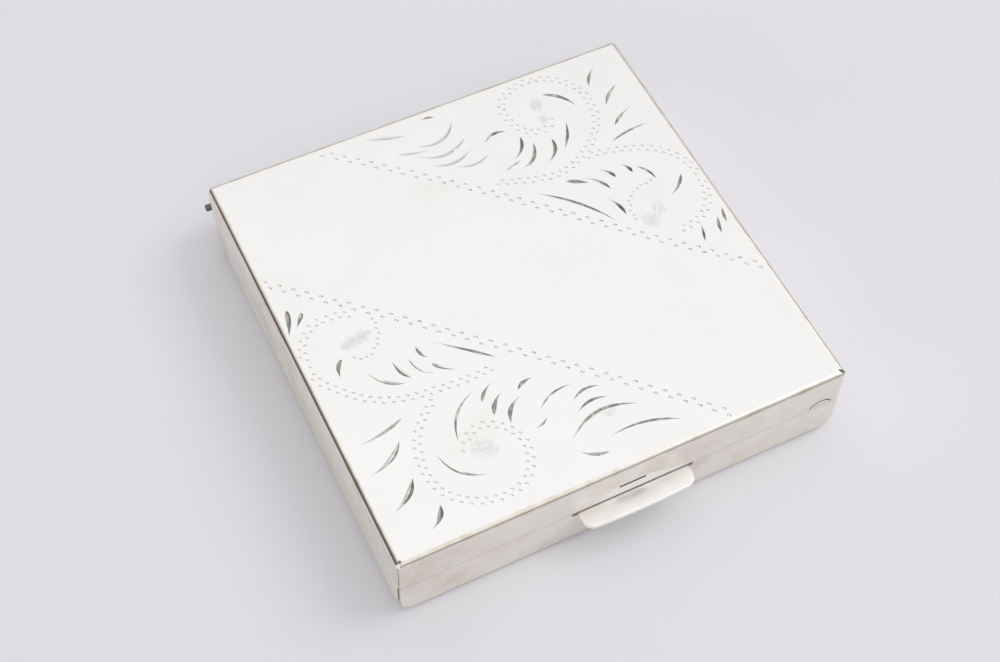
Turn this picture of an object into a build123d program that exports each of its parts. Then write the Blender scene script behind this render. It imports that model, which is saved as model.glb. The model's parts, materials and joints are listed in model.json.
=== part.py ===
"""Square powder compact in sheet silver: lid, base, push-in thumb catch, inner powder door and puff.

Millimetres. The origin is the centre of the case's underside, +Z is up through the closed lid,
the front with the thumb catch faces -Y and the lid's hinge runs along the rear, +Y.
"""
from build123d import *

import os

# ---- case -------------------------------------------------------------------------------------
SIDE = 64.0                       # width and depth of the closed case
HEIGHT = 13.0                     # height of the closed case
SHEET = 0.6                       # thickness of the case sheet
SEAM_Z = 6.81                     # height of the seam between base and lid
SEAM_GAP = 0.06                   # open height of that seam
HALF = SIDE / 2
BASE_TOP = SEAM_Z - SEAM_GAP / 2
LID_BOTTOM = SEAM_Z + SEAM_GAP / 2
BASE_CORNER_R = 1.6               # vertical corners of the base tray
BASE_BOTTOM_R = 1.5               # rounded lower edge of the base tray
LID_BEND_R = 0.7                  # bends along the lid's edges
MITRE_SLIT = (1.0, 0.42, 0.5)     # length, width and depth of the mitre slit at a front lid corner
MITRE_SEAM = (0.7, 0.12)          # depth and width of the fold's seam down that corner
TRAY_FRONT_Y = -HALF + SHEET      # the tray's front wall stands behind the front plate
PLATE_HALF = 31.7                 # half length of the front plate
PLATE_FOOT_Z = 0.4                # lower edge of the front plate
PLATE_CORNER_R = 2.0              # its two lower corners
TRAY_GAP = (2.5, 0.45)            # length and width of the tray's open seam beside the plate's left end
TRAY_GAP_Z = (1.4, 7.5)

# ---- main hinge -------------------------------------------------------------------------------
HINGE_Y = HALF + 1.3
HINGE_Z = SEAM_Z
KNUCKLE_R = 1.2
HINGE_PIN_R = 0.5
PIN_CLEARANCE = 0.03              # radial running clearance of every hinge pin
HINGE_HALF_LENGTH = 30.5
KNUCKLE_COUNT = 5                 # the base has the odd ones, the lid the even ones
KNUCKLE_GAP = 0.1                 # side play between knuckles
LEAF_THICKNESS = 0.5
LEAF_HALF_LENGTH = 29.4
LEAF_HEIGHT = 2.4
LEAF_OFFSET = 1.4                 # from the hinge axis to the near edge of a leaf
PIN_LEFT_END = -HALF - 0.5        # the pin shows a little at the left rear corner
PIN_RIGHT_END = HALF - 1.0

# ---- thumb catch ------------------------------------------------------------------------------
CATCH_X = 0.9                     # the catch sits a little to the right of the middle
CATCH_STUD_X = (CATCH_X - 4, CATCH_X + 4)
BLADE_Y = (-30.55, -30.25)        # the upright spring blade behind the front wall
BLADE_HALF_WIDTH = 7.0
HOOK_HALF_WIDTH = 2.2             # narrow upper end of the blade
NIB_HALF_WIDTH = 1.7
NIB_TIP_Y = -31.0
NIB_Z = (8.22, 8.55)
BLADE_BEND_Z = 1.6                # the blade flexes here, where it leaves its riveted foot
BLADE_FOOT_GAP = 0.08
BLADE_SHOULDER_Z = 6.9
LIP_HALF_WIDTH = 8.1
LIP_REACH = 2.95                  # how far the thumb lip stands out in front of the case
LIP_Z = (6.13, 6.58)
LIP_BOW = 0.25                    # bow of the lip's front edge
LIP_CORNER_R = 1.6
LIP_SLOT_HALF = 8.8               # slot in the front wall for the lip
LIP_SLOT_Z = 6.0

# ---- pressed panel above the catch, in the lid's front skirt -----------------------------------
PANEL_TOP_Z = 8.95
PANEL_FOOT_HALF = 8.6
PANEL_HEAD_HALF = 2.35
PANEL_PRESS = 0.45                # how far its upper edge is pressed in
WINDOW_HALF = 1.95
WINDOW_Z = (7.98, 8.85)

# ---- plain arched punch mark near the right end of the lid's front skirt ------------------------
MARK_X = 28.9
MARK_HALF_WIDTH = 1.6
MARK_Z = (7.1, 8.1)
MARK_LINE = 0.22                  # width of the punched line
MARK_DEPTH = 0.12

# ---- powder well ------------------------------------------------------------------------------
FRAME_Z = (6.25, 6.75)            # the frame plate that covers the base around the well
FRAME_HALF = 31.2
FRAME_FRONT_Y = -30.6
FRAME_CORNER_R = 1.6
COLLAR_TOP = 8.0                  # upstanding rim that the lid's skirt closes over
COLLAR_T = 0.4
WELL_HALF = 24.3                  # opening of the well
WELL_CORNER_R = 2.0
CATCH_NOTCH = (9.5, -28.9)        # half width and rear edge of the notch for the catch blade
STUD_R = 0.9
STUD_SHANK_R = 0.5
STUD_HEAD_H = 0.35
FRAME_STUDS = [(29.2, -28.4), (-29.2, -28.4), (29.2, 29.2), (-29.2, 29.2)]
PAN_HALF = 25.0
PAN_T = 0.4
PAN_FLANGE_HALF = 26.5
PAN_CORNER_R = 2.4
POWDER_TOP = 3.6
SIFTER_Z = (4.2, 4.5, 5.0)        # underside, ledge and top of the sifter's ring
SIFTER_HALF = 24.5
SIFTER_LEDGE_HALF = 21.5
MESH_HALF = 22.5
MESH_T = 0.15

# ---- inner powder door ------------------------------------------------------------------------
DOOR_HALF = 27.0
DOOR_Z = (6.8, 7.3)
DOOR_CORNER_R = 1.5
DOOR_HINGE_Y = 27.9
DOOR_HINGE_Z = 7.45
DOOR_KNUCKLE_R = 0.6
DOOR_PIN_R = 0.3
DOOR_HINGE_HALF = 15.0
TAB_X = (14.0, 20.0)              # the finger tab, to the right of the catch
TAB_FRONT_Y = -28.6
TAB_T = 0.3
TAB_CURL_Z = 7.9

# ---- mirror -----------------------------------------------------------------------------------
MIRROR_FRAME_HALF = 28.5
MIRROR_FRAME_Z = 10.7
GLASS_HALF = 27.5
GLASS_Z = (10.95, 12.1)
GLASS_WINDOW_HALF = 26.2
CEILING_Z = HEIGHT - SHEET
CLIP_HALF_WIDTH = 2.5
CLIP_T = 0.25

# ---- puff -------------------------------------------------------------------------------------
PUFF_HALF = 27.0
PUFF_SHIFT_Y = -0.2
PUFF_CORNER_R = 8.0
PUFF_Z = (7.5, 9.9)
BACKING_TOP = 10.15
RIBBON_TOP = 10.4
RIBBON_WIDTH = 10.0
RIBBON_HALF_LENGTH = 25.0


def block(x, y, z):
    """A box between the low and high values of x, y and z."""
    centre = Pos((x[0] + x[1]) / 2, (y[0] + y[1]) / 2, (z[0] + z[1]) / 2)
    return centre * Box(x[1] - x[0], y[1] - y[0], z[1] - z[0])


def slab(half_x, y, z, radius):
    """A plate with rounded vertical corners, centred on x = 0."""
    outline = Pos(0, (y[0] + y[1]) / 2, z[0]) * RectangleRounded(2 * half_x, y[1] - y[0], radius)
    return extrude(outline, z[1] - z[0])


def square(half, z, radius):
    """A square plate with rounded corners, centred on the origin."""
    return slab(half, (-half, half), z, radius)


def rod(x, y, z, radius):
    """A round rod along X."""
    return Pos((x[0] + x[1]) / 2, y, z) * Rot(0, 90, 0) * Cylinder(radius, x[1] - x[0])


def profile(points, x):
    """A closed outline of (y, z) points, extruded from x[0] to x[1]."""
    face = make_face(Plane.YZ * Polyline(*points, close=True))
    return Pos(x[0], 0, 0) * extrude(face, x[1] - x[0], dir=(1, 0, 0))


def knuckle_spans(half_length, parity):
    """X spans of every second knuckle of a hinge."""
    pitch = 2 * half_length / KNUCKLE_COUNT
    spans = []
    for index in range(parity, KNUCKLE_COUNT, 2):
        start = -half_length + index * pitch
        spans.append((start + KNUCKLE_GAP / 2, start + pitch - KNUCKLE_GAP / 2))
    return spans


# ---- case -------------------------------------------------------------------------------------
def lip_slot():
    """The slot in the front of the base that the thumb lip comes out of."""
    x = (CATCH_X - LIP_SLOT_HALF, CATCH_X + LIP_SLOT_HALF)
    return block(x, (-HALF - 1, -HALF + 2), (LIP_SLOT_Z, HEIGHT))


def base_shell():
    tray = slab(HALF, (TRAY_FRONT_Y, HALF), (0, BASE_TOP), BASE_CORNER_R)
    tray = fillet(tray.edges().group_by(Axis.Z)[0], BASE_BOTTOM_R)
    inner_y = (TRAY_FRONT_Y + SHEET, HALF - SHEET)
    cavity = slab(HALF - SHEET, inner_y, (SHEET, HEIGHT), BASE_CORNER_R - SHEET)
    cavity = fillet(cavity.edges().group_by(Axis.Z)[0], BASE_BOTTOM_R - SHEET)
    gap_length, gap_width = TRAY_GAP
    low, high = TRAY_GAP_Z
    gap = Rot(0, 0, 45) * Box(gap_length, gap_width, high - low)
    gap = Pos(-HALF + 0.3, TRAY_FRONT_Y + 0.3, (low + high) / 2) * gap
    return tray - cavity - lip_slot() - gap


def base_front_plate():
    plate = block((-PLATE_HALF, PLATE_HALF), (-HALF, TRAY_FRONT_Y), (PLATE_FOOT_Z, BASE_TOP))
    lower_corners = plate.edges().filter_by(Axis.Y).group_by(Axis.Z)[0]
    return fillet(lower_corners, PLATE_CORNER_R) - lip_slot()


def pressed_panel():
    """The sloping panel over the catch, and the piece of skirt that it takes the place of."""
    outer_y = -HALF
    head_y = outer_y + PANEL_PRESS
    slope = profile([(outer_y, LID_BOTTOM), (head_y, PANEL_TOP_Z), (head_y + SHEET, PANEL_TOP_Z),
                     (outer_y + SHEET, LID_BOTTOM)], (-PANEL_FOOT_HALF, PANEL_FOOT_HALF))
    outline = Polyline((-PANEL_FOOT_HALF, LID_BOTTOM), (PANEL_FOOT_HALF, LID_BOTTOM),
                       (PANEL_HEAD_HALF, PANEL_TOP_Z), (-PANEL_HEAD_HALF, PANEL_TOP_Z), close=True)
    wedge = extrude(make_face(Plane.XZ * outline), 2 * SHEET + 1, dir=(0, 1, 0))
    wedge = Pos(0, outer_y - 0.5, 0) * wedge
    window = block((-WINDOW_HALF, WINDOW_HALF), (outer_y - 1, outer_y + 3), WINDOW_Z)
    return Pos(CATCH_X, 0, 0) * ((slope & wedge) - window), Pos(CATCH_X, 0, 0) * wedge


def punch_mark():
    """The shallow arched line that is punched into the lid's front skirt."""
    low, high = MARK_Z
    arch = ThreePointArc((MARK_X - MARK_HALF_WIDTH, low), (MARK_X, high), (MARK_X + MARK_HALF_WIDTH, low))
    line = Plane.XZ * trace(arch, MARK_LINE)
    return Pos(0, -HALF, 0) * extrude(line, MARK_DEPTH, dir=(0, 1, 0))


def lid_shell():
    shell = block((-HALF, HALF), (-HALF, HALF), (LID_BOTTOM, HEIGHT))
    bends = shell.edges().filter_by(Axis.Z) + shell.edges().group_by(Axis.Z)[-1]
    shell = fillet(bends, LID_BEND_R)
    inner = HALF - SHEET
    shell -= block((-inner, inner), (-inner, inner), (0, CEILING_Z))
    panel, wedge = pressed_panel()
    shell = shell - (wedge & block((-HALF, HALF), (-HALF, -inner), (0, HEIGHT))) + panel
    shell -= punch_mark()
    length, width, depth = MITRE_SLIT
    seam_depth, seam_width = MITRE_SEAM
    corner = HALF - length / 2
    for side in (-1, 1):
        slit = Rot(0, 0, -45 * side) * Box(length, width, 2 * depth)
        shell -= Pos(side * corner, -corner, HEIGHT) * slit
        seam = Rot(0, 0, -45 * side) * Box(seam_depth, seam_width, 2 * HEIGHT)
        shell -= Pos(side * HALF, -HALF, HEIGHT) * seam
    return shell


# ---- main hinge -------------------------------------------------------------------------------
def hinge_leaf(direction, parity):
    """One leaf with its knuckles; direction is -1 for the base's leaf and 1 for the lid's."""
    near = HINGE_Z + direction * LEAF_OFFSET
    far = near + direction * LEAF_HEIGHT
    tab_end = HINGE_Z + direction * 0.3
    leaf_y = (HALF, HALF + LEAF_THICKNESS)
    leaf = block((-LEAF_HALF_LENGTH, LEAF_HALF_LENGTH), leaf_y, sorted((near, far)))
    for span in knuckle_spans(HINGE_HALF_LENGTH, parity):
        tab_x = (max(span[0], -LEAF_HALF_LENGTH), min(span[1], LEAF_HALF_LENGTH))
        leaf += block(tab_x, leaf_y, sorted((tab_end, near)))
        leaf += rod(span, HINGE_Y, HINGE_Z, KNUCKLE_R)
    bore_x = (-HALF - 2, HALF + 2)
    return leaf - rod(bore_x, HINGE_Y, HINGE_Z, HINGE_PIN_R + PIN_CLEARANCE)


def base_hinge_leaf():
    return hinge_leaf(-1, 0)


def lid_hinge_leaf():
    return hinge_leaf(1, 1)


def hinge_pin():
    pin = rod((PIN_LEFT_END, PIN_RIGHT_END), HINGE_Y, HINGE_Z, HINGE_PIN_R)
    return chamfer(pin.edges().filter_by(GeomType.CIRCLE), 0.15)


# ---- thumb catch ------------------------------------------------------------------------------
def catch_foot():
    front, back = BLADE_Y
    outline = [(-27.4, SHEET), (-29.5, SHEET), (front, 1.15), (front, BLADE_BEND_Z),
               (back, BLADE_BEND_Z), (back, 1.3), (-29.4, SHEET + 0.3), (-27.4, SHEET + 0.3)]
    foot = profile(outline, (CATCH_X - BLADE_HALF_WIDTH, CATCH_X + BLADE_HALF_WIDTH))
    for x in CATCH_STUD_X:
        foot -= Pos(x, -28.4, SHEET) * Cylinder(STUD_SHANK_R, 2)
    return foot


def catch_studs():
    studs = Part()
    for x in CATCH_STUD_X:
        studs += Pos(x, -28.4, SHEET + 0.15) * Cylinder(STUD_SHANK_R, 0.3)
        studs += Pos(x, -28.4, SHEET + 0.3 + STUD_HEAD_H / 2) * Cylinder(STUD_R, STUD_HEAD_H)
    return studs


def catch_blade():
    low = BLADE_BEND_Z + BLADE_FOOT_GAP
    blade = block((-BLADE_HALF_WIDTH, BLADE_HALF_WIDTH), BLADE_Y, (low, BLADE_SHOULDER_Z))
    blade += block((-HOOK_HALF_WIDTH, HOOK_HALF_WIDTH), BLADE_Y, (BLADE_SHOULDER_Z, NIB_Z[1]))
    blade += block((-NIB_HALF_WIDTH, NIB_HALF_WIDTH), (NIB_TIP_Y, BLADE_Y[0]), NIB_Z)
    return Pos(CATCH_X, 0, 0) * blade


def thumb_lip():
    front = -HALF - LIP_REACH
    side_y = front + LIP_BOW
    outline = Polyline((-LIP_HALF_WIDTH, side_y), (-LIP_HALF_WIDTH, BLADE_Y[0]),
                       (LIP_HALF_WIDTH, BLADE_Y[0]), (LIP_HALF_WIDTH, side_y))
    bow = ThreePointArc((LIP_HALF_WIDTH, side_y), (0, front), (-LIP_HALF_WIDTH, side_y))
    plan = make_face([outline, bow])
    plan = fillet(plan.vertices().group_by(Axis.Y)[0], LIP_CORNER_R)
    lip = extrude(Pos(0, 0, LIP_Z[0]) * plan, LIP_Z[1] - LIP_Z[0])
    lip = fillet(lip.edges().group_by(Axis.Z)[-1].group_by(Axis.Y)[0], 0.15)
    return Pos(CATCH_X, 0, 0) * lip


# ---- powder well ------------------------------------------------------------------------------
def well_frame():
    span = (FRAME_FRONT_Y, FRAME_HALF)
    frame = slab(FRAME_HALF, span, (FRAME_Z[0], COLLAR_TOP), FRAME_CORNER_R)
    room = (FRAME_FRONT_Y + COLLAR_T, FRAME_HALF - COLLAR_T)
    frame -= slab(FRAME_HALF - COLLAR_T, room, (FRAME_Z[1], HEIGHT), FRAME_CORNER_R - COLLAR_T)
    frame -= square(WELL_HALF, (0, HEIGHT), WELL_CORNER_R)
    half, rear = CATCH_NOTCH
    frame -= block((-half, half), (-HALF, rear), (0, HEIGHT))
    for x, y in FRAME_STUDS:
        frame -= Pos(x, y, FRAME_Z[0]) * Cylinder(STUD_SHANK_R, 2)
    return frame


def frame_studs():
    studs = Part()
    head_z = (FRAME_Z[1], FRAME_Z[1] + STUD_HEAD_H)
    for x, y in FRAME_STUDS:
        for radius, z in ((STUD_R, (SHEET, FRAME_Z[0])), (STUD_SHANK_R, FRAME_Z), (STUD_R, head_z)):
            studs += Pos(x, y, (z[0] + z[1]) / 2) * Cylinder(radius, z[1] - z[0])
    return studs


def powder_pan():
    pan = square(PAN_HALF, (SHEET, FRAME_Z[0]), PAN_CORNER_R)
    pan += square(PAN_FLANGE_HALF, (FRAME_Z[0] - PAN_T, FRAME_Z[0]), PAN_CORNER_R)
    return pan - square(PAN_HALF - PAN_T, (SHEET + PAN_T, HEIGHT), PAN_CORNER_R - PAN_T)


def powder_cake():
    cake = square(PAN_HALF - PAN_T, (SHEET + PAN_T, POWDER_TOP), PAN_CORNER_R - PAN_T)
    return chamfer(cake.edges().group_by(Axis.Z)[-1], 0.3)


def sifter_ring():
    low, ledge, top = SIFTER_Z
    ring = square(SIFTER_HALF, (low, top), 1.9)
    ring -= square(SIFTER_LEDGE_HALF, (0, HEIGHT), 1.5)
    return ring - square(MESH_HALF + 0.1, (ledge, HEIGHT), 1.6)


def sifter_mesh():
    return square(MESH_HALF, (SIFTER_Z[1], SIFTER_Z[1] + MESH_T), 1.5)


# ---- inner powder door ------------------------------------------------------------------------
def powder_door():
    return square(DOOR_HALF, DOOR_Z, DOOR_CORNER_R)


def door_bore(part):
    bore_x = (-DOOR_HINGE_HALF - 2, DOOR_HINGE_HALF + 2)
    return part - rod(bore_x, DOOR_HINGE_Y, DOOR_HINGE_Z, DOOR_PIN_R + PIN_CLEARANCE)


def door_knuckles():
    """The door's own hinge leaf: a strip along its rear edge with two knuckles."""
    strip_z = (DOOR_Z[0] + 0.07, DOOR_Z[0] + 0.3)
    knuckles = Part()
    for span in knuckle_spans(DOOR_HINGE_HALF, 1):
        knuckles += block(span, (DOOR_HALF, DOOR_HINGE_Y), strip_z)
        knuckles += rod(span, DOOR_HINGE_Y, DOOR_HINGE_Z, DOOR_KNUCKLE_R)
    return door_bore(knuckles)


def door_hinge_leaf():
    """The fixed leaf on the frame plate, with three knuckles."""
    strip_z = (FRAME_Z[1], FRAME_Z[1] + 0.33)
    leaf = block((-DOOR_HINGE_HALF, DOOR_HINGE_HALF), (28.7, 30.3), strip_z)
    for span in knuckle_spans(DOOR_HINGE_HALF, 0):
        leaf += block(span, (DOOR_HINGE_Y, 28.7), strip_z)
        leaf += rod(span, DOOR_HINGE_Y, DOOR_HINGE_Z, DOOR_KNUCKLE_R)
    return door_bore(leaf)


def door_hinge_pin():
    length = (-DOOR_HINGE_HALF - 0.3, DOOR_HINGE_HALF + 0.3)
    return rod(length, DOOR_HINGE_Y, DOOR_HINGE_Z, DOOR_PIN_R)


def door_pull():
    low = DOOR_Z[0] + 0.05
    high = low + TAB_T
    curl = TAB_FRONT_Y + TAB_T
    outline = [(-DOOR_HALF, low), (TAB_FRONT_Y, low), (TAB_FRONT_Y, TAB_CURL_Z), (curl, TAB_CURL_Z),
               (curl, high), (-DOOR_HALF, high)]
    return profile(outline, TAB_X)


def door_catch():
    """A small spring clip on the frame plate, in front of the door's finger tab."""
    low = FRAME_Z[1]
    outline = [(-30.1, low), (-30.1, low + 0.2), (-29.0, low + 0.2), (-29.0, TAB_CURL_Z - 0.2),
               (-28.8, TAB_CURL_Z - 0.2), (-28.8, low)]
    return profile(outline, (TAB_X[0] + 1, TAB_X[1] - 1))


# ---- mirror -----------------------------------------------------------------------------------
def mirror_frame():
    frame = square(MIRROR_FRAME_HALF, (MIRROR_FRAME_Z, CEILING_Z), 1.0)
    frame -= square(GLASS_HALF + 0.1, (GLASS_Z[0], HEIGHT), 0.6)
    frame -= square(GLASS_WINDOW_HALF, (0, HEIGHT), 0.8)
    lip = frame.edges().filter_by(Axis.Z, reverse=True).group_by(Axis.Z)[0]
    return chamfer(lip, 0.12)


def mirror_glass():
    glass = square(GLASS_HALF, GLASS_Z, 0.5)
    return chamfer(glass.edges().group_by(Axis.Z)[0], 0.1)


def mirror_backing():
    return square(GLASS_HALF, (GLASS_Z[1], CEILING_Z), 0.5)


def mirror_clips():
    """Four bent tabs under the lid that hold the mirror's frame."""
    inner = MIRROR_FRAME_HALF
    outer = inner + CLIP_T
    foot = inner + 1.8
    hook_z = MIRROR_FRAME_Z - CLIP_T
    outline = [(inner - 0.6, hook_z), (inner - 0.6, MIRROR_FRAME_Z), (inner, MIRROR_FRAME_Z),
               (inner, CEILING_Z), (foot, CEILING_Z), (foot, CEILING_Z - CLIP_T),
               (outer, CEILING_Z - CLIP_T), (outer, hook_z)]
    clip = profile(outline, (-CLIP_HALF_WIDTH, CLIP_HALF_WIDTH))
    clips = Part()
    for quarter in range(4):
        clips += Rot(0, 0, 90 * quarter) * clip
    return clips


# ---- puff -------------------------------------------------------------------------------------
def puff_layer(inset, z):
    half = PUFF_HALF - inset
    y = (PUFF_SHIFT_Y - half, PUFF_SHIFT_Y + half)
    return slab(half, y, z, PUFF_CORNER_R - inset)


def puff_pad():
    pad = puff_layer(0, PUFF_Z)
    return fillet(pad.edges().group_by(Axis.Z)[0], 0.8)


def puff_backing():
    return puff_layer(0.4, (PUFF_Z[1], BACKING_TOP))


def puff_ribbon():
    x = (-RIBBON_HALF_LENGTH, RIBBON_HALF_LENGTH)
    y = (PUFF_SHIFT_Y - RIBBON_WIDTH / 2, PUFF_SHIFT_Y + RIBBON_WIDTH / 2)
    return block(x, y, (BACKING_TOP, RIBBON_TOP))


PIECES = [
    base_shell, base_front_plate, base_hinge_leaf, hinge_pin, well_frame, frame_studs, powder_pan,
    powder_cake, sifter_ring, sifter_mesh, door_hinge_leaf, door_hinge_pin, door_catch, catch_foot,
    catch_studs, catch_blade, thumb_lip, lid_shell, lid_hinge_leaf, mirror_frame, mirror_glass,
    mirror_backing, mirror_clips, powder_door, door_knuckles, door_pull, puff_pad, puff_backing,
    puff_ribbon,
]

os.makedirs("parts", exist_ok=True)
for piece in PIECES:
    export_step(piece(), f"parts/{piece.__name__}.step")
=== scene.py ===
"""Looks for the powder compact: engraved silver case, gilt inside, mirror, powder, sifter and puff."""

import json
import math
import random

import bmesh
import bpy
from mathutils import Matrix, Vector, noise
from mathutils.geometry import delaunay_2d_cdt


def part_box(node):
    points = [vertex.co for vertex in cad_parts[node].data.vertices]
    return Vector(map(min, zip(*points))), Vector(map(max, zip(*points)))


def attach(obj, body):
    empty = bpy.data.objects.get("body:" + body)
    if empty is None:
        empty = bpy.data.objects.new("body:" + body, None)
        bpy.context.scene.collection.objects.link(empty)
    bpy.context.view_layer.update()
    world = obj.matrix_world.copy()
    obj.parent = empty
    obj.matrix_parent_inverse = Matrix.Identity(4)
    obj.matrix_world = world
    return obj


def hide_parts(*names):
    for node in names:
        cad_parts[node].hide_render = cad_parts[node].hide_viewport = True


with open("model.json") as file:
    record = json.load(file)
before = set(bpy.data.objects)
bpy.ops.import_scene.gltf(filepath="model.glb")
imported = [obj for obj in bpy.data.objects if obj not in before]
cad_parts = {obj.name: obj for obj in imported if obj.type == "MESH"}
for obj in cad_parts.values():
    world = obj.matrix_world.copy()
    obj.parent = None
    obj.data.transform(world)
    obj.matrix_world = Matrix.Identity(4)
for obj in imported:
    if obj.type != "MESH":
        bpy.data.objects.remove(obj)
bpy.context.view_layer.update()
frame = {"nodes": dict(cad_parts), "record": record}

MM = 0.001
rng = random.Random(7)
nodes = frame["nodes"]

lid_low, lid_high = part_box("lid_shell")
SIDE = lid_high.x - lid_low.x
TOP = lid_high.z


# ---- materials --------------------------------------------------------------------------------
class Surface:
    """A Principled material, with short ways to drive its sockets from procedural textures."""

    def __init__(self, name, color, roughness, metallic=0.0, **sockets):
        self.material = bpy.data.materials.new(name)
        self.material.use_nodes = True
        self.tree = self.material.node_tree
        self.shader = self.tree.nodes["Principled BSDF"]
        self.shader.inputs["Base Color"].default_value = (*color, 1.0)
        self.shader.inputs["Roughness"].default_value = roughness
        self.shader.inputs["Metallic"].default_value = metallic
        for socket, value in sockets.items():
            self.shader.inputs[socket.replace("_", " ")].default_value = value
        self.place = self.tree.nodes.new("ShaderNodeTexCoord").outputs["Object"]
        self.normal = None

    def node(self, kind, **inputs):
        made = self.tree.nodes.new("ShaderNode" + kind)
        for name, value in inputs.items():
            socket = made.inputs[name.replace("_", " ")]
            if isinstance(value, bpy.types.NodeSocket):
                self.tree.links.new(value, socket)
            else:
                socket.default_value = value
        return made

    def mapped(self, stretch, turn=0.0):
        """Object coordinates, stretched along X, Y and Z and turned about Z."""
        return self.node("Mapping", Vector=self.place, Scale=stretch, Rotation=(0, 0, turn)).outputs[0]

    def noise(self, size, detail=3.0, stretch=(1, 1, 1), turn=0.0, rough=0.5):
        """Noise between 0 and 1 whose features are about size metres across."""
        made = self.node("TexNoise", Vector=self.mapped(stretch, turn), Scale=1 / size, Detail=detail,
                         Roughness=rough)
        return made.outputs["Fac"]

    def levels(self, value, low, high, to_low=0.0, to_high=1.0):
        made = self.node("MapRange", Value=value, From_Min=low, From_Max=high, To_Min=to_low,
                         To_Max=to_high)
        return made.outputs["Result"]

    def math(self, operation, a, b=0.0):
        made = self.tree.nodes.new("ShaderNodeMath")
        made.operation = operation
        for socket, value in zip(made.inputs, (a, b)):
            if isinstance(value, bpy.types.NodeSocket):
                self.tree.links.new(value, socket)
            else:
                socket.default_value = value
        return made.outputs[0]

    def colours(self, factor, stops):
        """A colour ramp over (position, colour) stops."""
        ramp = self.node("ValToRGB", Fac=factor)
        for element, (position, color) in zip(new_stops(ramp, len(stops)), stops):
            element.position = position
            element.color = (*color, 1.0)
        return ramp.outputs["Color"]

    def link(self, output, socket):
        self.tree.links.new(output, self.shader.inputs[socket])

    def bump(self, height, distance, strength=1.0):
        """Adds a bump layer; distance is the height of the bump in metres."""
        made = self.node("Bump", Height=height, Distance=distance, Strength=strength)
        if self.normal:
            self.tree.links.new(self.normal, made.inputs["Normal"])
        self.normal = made.outputs["Normal"]
        self.link(self.normal, "Normal")


def polished_silver():
    """Sterling silver, buffed bright: faint warm tarnish, finger smears and hairline scratches."""
    s = Surface("polished_silver", (0.96, 0.95, 0.93), 0.1, 1.0)
    tarnish = s.levels(s.noise(11 * MM, 5, rough=0.6), 0.44, 0.78)
    s.link(s.colours(tarnish, [(0.0, (0.965, 0.957, 0.94)), (0.5, (0.955, 0.943, 0.92)),
                               (1.0, (0.915, 0.89, 0.845))]), "Base Color")
    smears = s.noise(6 * MM, 4, (1, 2.4, 1), 0.6)
    fine = s.noise(0.5 * MM, 3)
    s.link(s.levels(s.math("MULTIPLY", smears, fine), 0.12, 0.42, 0.07, 0.2), "Roughness")
    s.bump(s.noise(9 * MM, 2), 0.004 * MM)
    hairlines = s.noise(0.16 * MM, 2, (1, 0.02, 1), 0.4)
    s.bump(s.levels(hairlines, 0.62, 0.72), 0.0008 * MM)
    crossing = s.noise(0.2 * MM, 2, (0.03, 1, 1), -0.5)
    s.bump(s.levels(crossing, 0.66, 0.74), 0.0008 * MM)
    return s.material


def satin_silver():
    """The case's walls: the same silver, dulled by handling, with fine scratches along the walls."""
    s = Surface("satin_silver", (0.94, 0.92, 0.89), 0.42, 1.0)
    tarnish = s.levels(s.noise(9 * MM, 5, rough=0.62), 0.42, 0.72)
    grain = s.noise(0.22 * MM, 4, rough=0.7)
    tone = s.math("ADD", s.math("MULTIPLY", tarnish, 0.55), s.math("MULTIPLY", grain, 0.45))
    s.link(s.colours(tone, [(0.12, (0.95, 0.92, 0.87)), (0.45, (0.9, 0.86, 0.8)),
                            (0.9, (0.74, 0.68, 0.6))]), "Base Color")
    s.link(s.levels(s.noise(2.5 * MM, 4), 0.3, 0.7, 0.54, 0.66), "Roughness")
    s.bump(s.noise(7 * MM, 2), 0.01 * MM)
    s.bump(s.noise(0.14 * MM, 2, (0.02, 0.02, 1)), 0.0012 * MM)
    return s.material


def burnished_silver():
    """Silver rubbed soft by fingers: bright, but with no clear reflections."""
    s = Surface("burnished_silver", (0.97, 0.955, 0.935), 0.36, 1.0)
    tarnish = s.levels(s.noise(4 * MM, 4, rough=0.6), 0.45, 0.75)
    s.link(s.colours(tarnish, [(0.0, (0.98, 0.97, 0.955)), (1.0, (0.94, 0.915, 0.88))]), "Base Color")
    s.link(s.levels(s.noise(1.5 * MM, 3), 0.3, 0.7, 0.32, 0.42), "Roughness")
    s.bump(s.noise(0.15 * MM, 2, (0.03, 1, 1), 0.3), 0.001 * MM)
    return s.material


def edge_silver():
    """Bends and rims: a golden brown line of tarnish that polish leaves, painted darker as well to stand
    in for the dark reflection along the bends.
    """
    s = Surface("edge_silver", (0.86, 0.78, 0.68), 0.16, 1.0)
    tarnish = s.noise(3 * MM, 5, rough=0.65)
    s.link(s.colours(tarnish, [(0.3, (0.93, 0.895, 0.84)), (0.5, (0.87, 0.805, 0.715)),
                               (0.7, (0.72, 0.63, 0.52))]), "Base Color")
    s.bump(s.noise(0.3 * MM, 3), 0.004 * MM)
    return s.material


def cut_silver():
    """The shallow side of a bright cut, with the graver's fine chatter."""
    s = Surface("cut_silver", (0.93, 0.92, 0.9), 0.14, 1.0)
    chatter = s.noise(0.09 * MM, 2, (1, 0.25, 1), 0.8)
    s.link(s.colours(chatter, [(0.3, (0.82, 0.8, 0.77)), (0.7, (0.95, 0.94, 0.92))]), "Base Color")
    s.bump(chatter, 0.006 * MM)
    return s.material


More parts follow.
